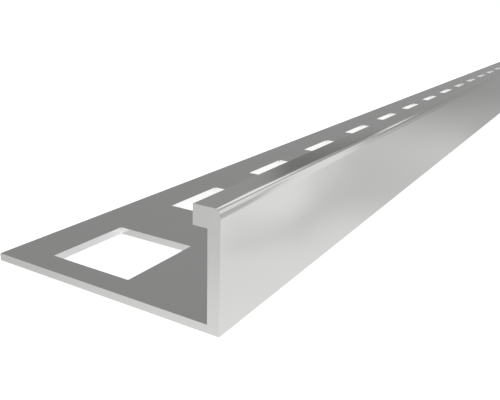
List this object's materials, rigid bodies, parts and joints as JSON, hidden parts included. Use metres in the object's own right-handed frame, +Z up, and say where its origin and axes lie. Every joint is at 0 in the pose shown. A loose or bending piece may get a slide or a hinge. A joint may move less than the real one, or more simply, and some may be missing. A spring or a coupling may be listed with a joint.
{
  "type": "tile edge trim",
  "caption": "Straight L-section tile edge trim of bright aluminium, with a punched anchoring leg, a smooth upright face and a thick lip that covers the tile's edge.",
  "frame": {"origin": "middle of the length and of the overall width, on the underside of the leg", "axes": "+X along the bar, away from the end that starts with a short gap before the first hole; +Y from the visible face to the leg's free edge; +Z up, from the leg to the lip"},
  "size_m": [1, 0.0308, 0.0125],
  "materials": {
    "bright_aluminium": "polished and bright anodised on the visible face and lip, plain and satin on the leg, sawn at both ends"
  },
  "bodies": {
    "root": {"edge_trim": "bright_aluminium"}
  },
  "joints": []
}
